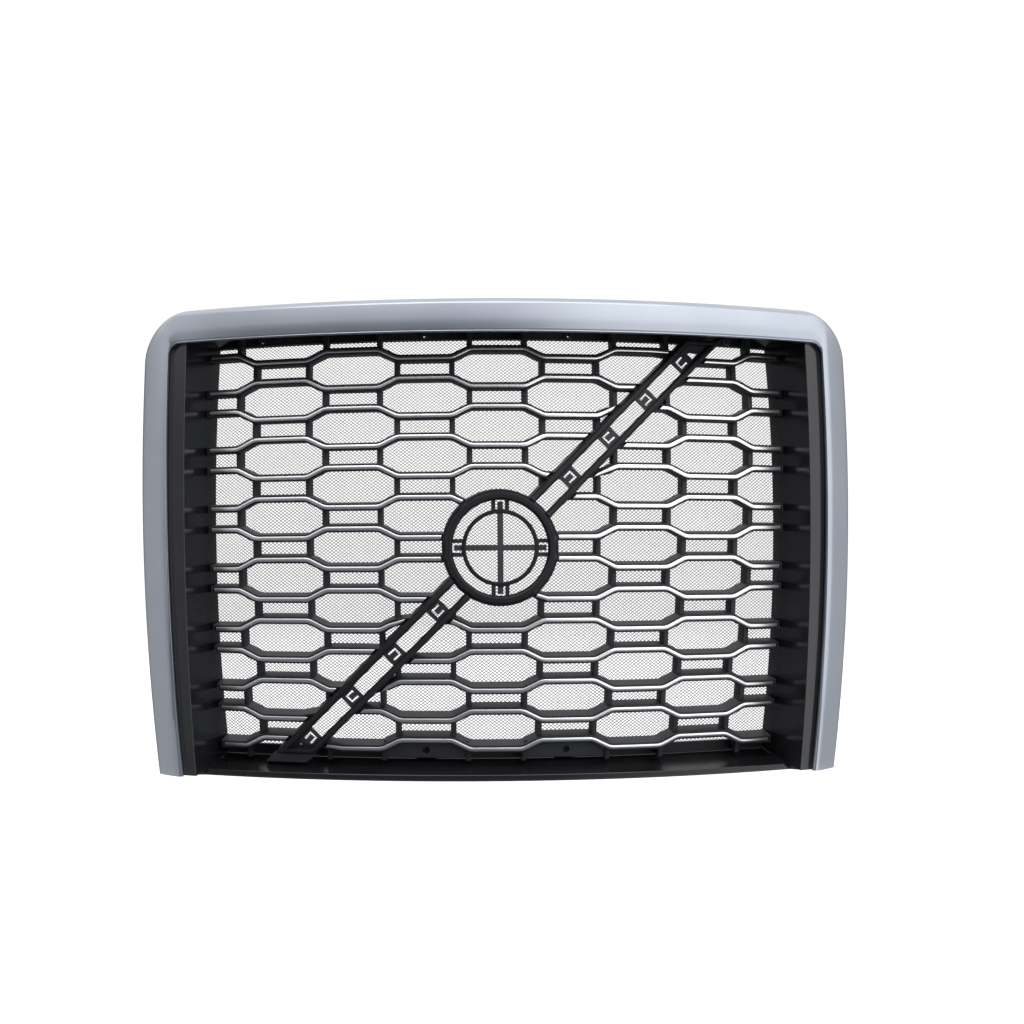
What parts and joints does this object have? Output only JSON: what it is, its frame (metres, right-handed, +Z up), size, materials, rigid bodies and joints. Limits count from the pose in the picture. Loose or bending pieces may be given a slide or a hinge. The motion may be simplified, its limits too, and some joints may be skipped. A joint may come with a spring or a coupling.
{
  "type": "front grille",
  "caption": "Heavy truck front grille with a bright U-shaped surround, a moulded black housing, a lattice of wavy bars with bright trims, a diagonal badge bar and a bug screen.",
  "frame": {"origin": "centre of the four hood fixing holes, on the plane of the hood the brackets bolt to", "axes": "+X to the viewer's right from the front, across the grille; +Y to the back, into the hood; +Z up"},
  "size_m": [1.15, 0.2622, 0.749],
  "materials": {
    "surround": "satin metallic",
    "housing": "semi-gloss",
    "lattice": "moulded satin black",
    "diagonal": "moulded satin black",
    "trim": "satin bright plating",
    "screen": "expanded mesh, mill finish",
    "strip": "matte",
    "bracket": "zinc plated",
    "fastener": "zinc plated",
    "rivet": "plain"
  },
  "bodies": {
    "root": {"surround": "surround", "housing": "housing", "lattice": "lattice", "diagonal_upper": "diagonal", "diagonal_lower": "diagonal", "badge_base": "diagonal", "bug_screen": "screen", "screen_strip_top": "strip", "screen_strip_bottom": "strip", "screen_strip_left": "strip", "screen_strip_right": "strip", "bracket_upper_left": "bracket", "bracket_upper_right": "bracket", "bracket_lower_left": "bracket", "bracket_lower_right": "bracket", "bracket_bolts": "fastener", "surround_screws": "fastener", "lattice_screws_top": "fastener", "lattice_screws_bottom": "fastener", "diagonal_screws": "fastener", "badge_screws": "fastener", "screen_rivets": "rivet", "trim_01_left": "trim", "trim_02_left": "trim", "trim_03_left": "trim", "trim_04_left": "trim", "trim_05_left": "trim", "trim_06_left": "trim", "trim_07_left": "trim", "trim_08_left": "trim", "trim_09_left": "trim", "trim_10_left": "trim", "trim_11_left": "trim", "trim_12_left": "trim", "trim_13_left": "trim", "trim_14_left": "trim", "trim_01_right": "trim", "trim_02_right": "trim", "trim_03_right": "trim", "trim_04_right": "trim", "trim_05_right": "trim", "trim_06_right": "trim", "trim_07_right": "trim", "trim_08_right": "trim", "trim_09_right": "trim", "trim_10_right": "trim", "trim_11_right": "trim", "trim_12_right": "trim", "trim_13_right": "trim", "trim_14_right": "trim"}
  },
  "joints": []
}
